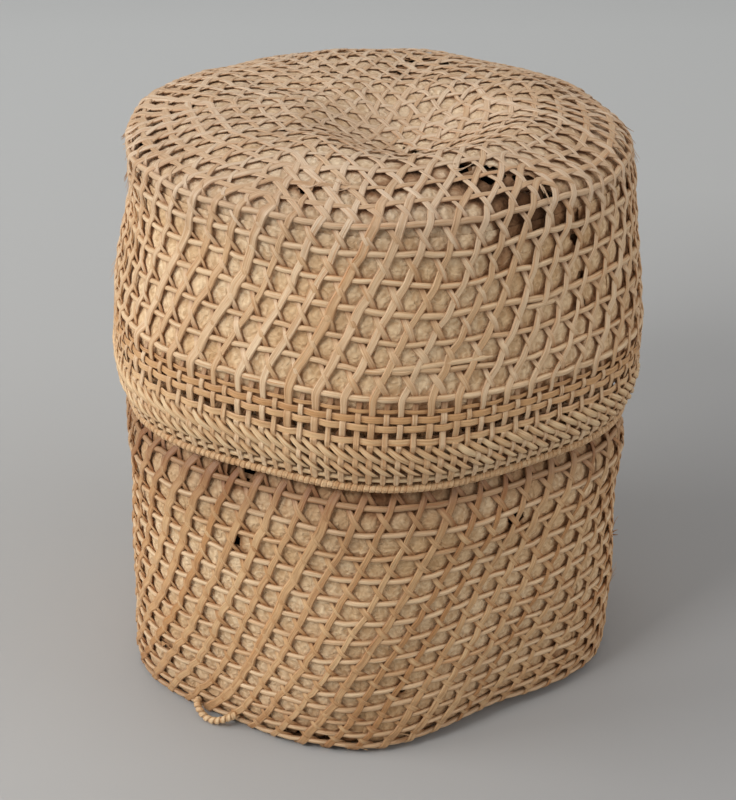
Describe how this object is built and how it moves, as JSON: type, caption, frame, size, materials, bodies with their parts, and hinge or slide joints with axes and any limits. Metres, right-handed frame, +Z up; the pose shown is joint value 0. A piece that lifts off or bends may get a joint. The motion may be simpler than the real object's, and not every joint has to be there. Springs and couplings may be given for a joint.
{
  "type": "lidded openwork basket",
  "caption": "Tall openwork hexagonal-weave basket lined with leaves, with a deep telescoping lid that lifts off.",
  "frame": {"origin": "centre of the flat underside, on the surface that the basket stands on", "axes": "+Z up along the axis that the lid slides on, -Y towards the front corner, +X to the right"},
  "size_m": [0.2844, 0.2921, 0.3135],
  "materials": {
    "outer_stakes": "split cane, tan to orange-brown, matt with worn high spots",
    "weft_rods": "round straw-coloured rod, lightly polished by handling",
    "belt_strips": "flat glossy strip, orange-tan",
    "inner_weave": "split cane, duller and darker than outside",
    "lining_leaf": "dry crinkled leaf, cream",
    "rim_binding": "narrow strip wound close over a core"
  },
  "bodies": {
    "basket": {"basket_outer_stakes": "outer_stakes", "basket_inner_weave": "inner_weave", "basket_floor_leaf": "lining_leaf", "basket_wall_leaf_1": "lining_leaf", "basket_wall_leaf_2": "lining_leaf", "basket_wall_leaf_3": "lining_leaf", "basket_wall_leaf_4": "lining_leaf", "basket_wall_leaf_5": "lining_leaf", "basket_wall_leaf_6": "lining_leaf", "basket_weft_01": "weft_rods", "basket_weft_02": "weft_rods", "basket_weft_03": "weft_rods", "basket_weft_04": "weft_rods", "basket_weft_05": "weft_rods", "basket_weft_06": "weft_rods", "basket_weft_07": "weft_rods", "basket_weft_08": "weft_rods", "basket_weft_09": "weft_rods", "basket_weft_10": "weft_rods", "basket_weft_11": "weft_rods", "basket_weft_12": "weft_rods", "basket_weft_13": "weft_rods", "basket_weft_14": "weft_rods", "basket_weft_15": "weft_rods", "basket_weft_16": "weft_rods", "basket_weft_17": "weft_rods", "basket_weft_18": "weft_rods", "basket_weft_19": "weft_rods", "basket_weft_20": "weft_rods", "basket_weft_21": "weft_rods", "basket_weft_22": "weft_rods", "basket_weft_23": "weft_rods", "basket_mouth_core": "weft_rods", "basket_mouth_binding": "rim_binding", "base_cord_loop": "rim_binding"},
    "lid": {"lid_outer_stakes": "outer_stakes", "lid_inner_weave": "inner_weave", "lid_crown_leaf": "lining_leaf", "lid_wall_leaf_1": "lining_leaf", "lid_wall_leaf_2": "lining_leaf", "lid_wall_leaf_3": "lining_leaf", "lid_wall_leaf_4": "lining_leaf", "lid_wall_leaf_5": "lining_leaf", "lid_wall_leaf_6": "lining_leaf", "lid_weft_01": "weft_rods", "lid_weft_02": "weft_rods", "lid_weft_03": "weft_rods", "lid_weft_04": "weft_rods", "lid_weft_05": "weft_rods", "lid_weft_06": "weft_rods", "lid_weft_07": "weft_rods", "lid_belt_strip_01": "belt_strips", "lid_belt_strip_02": "belt_strips", "lid_belt_strip_03": "belt_strips", "lid_belt_strip_04": "belt_strips", "lid_slanted_border": "outer_stakes", "lid_foot_weft_01": "weft_rods", "lid_rim_core": "weft_rods", "lid_rim_binding": "rim_binding"}
  },
  "joints": [
    {"name": "lid_lift", "type": "slide", "parent": "basket", "child": "lid", "axis": [0, 0, 1], "range_m": [0, 0.18]}
  ]
}
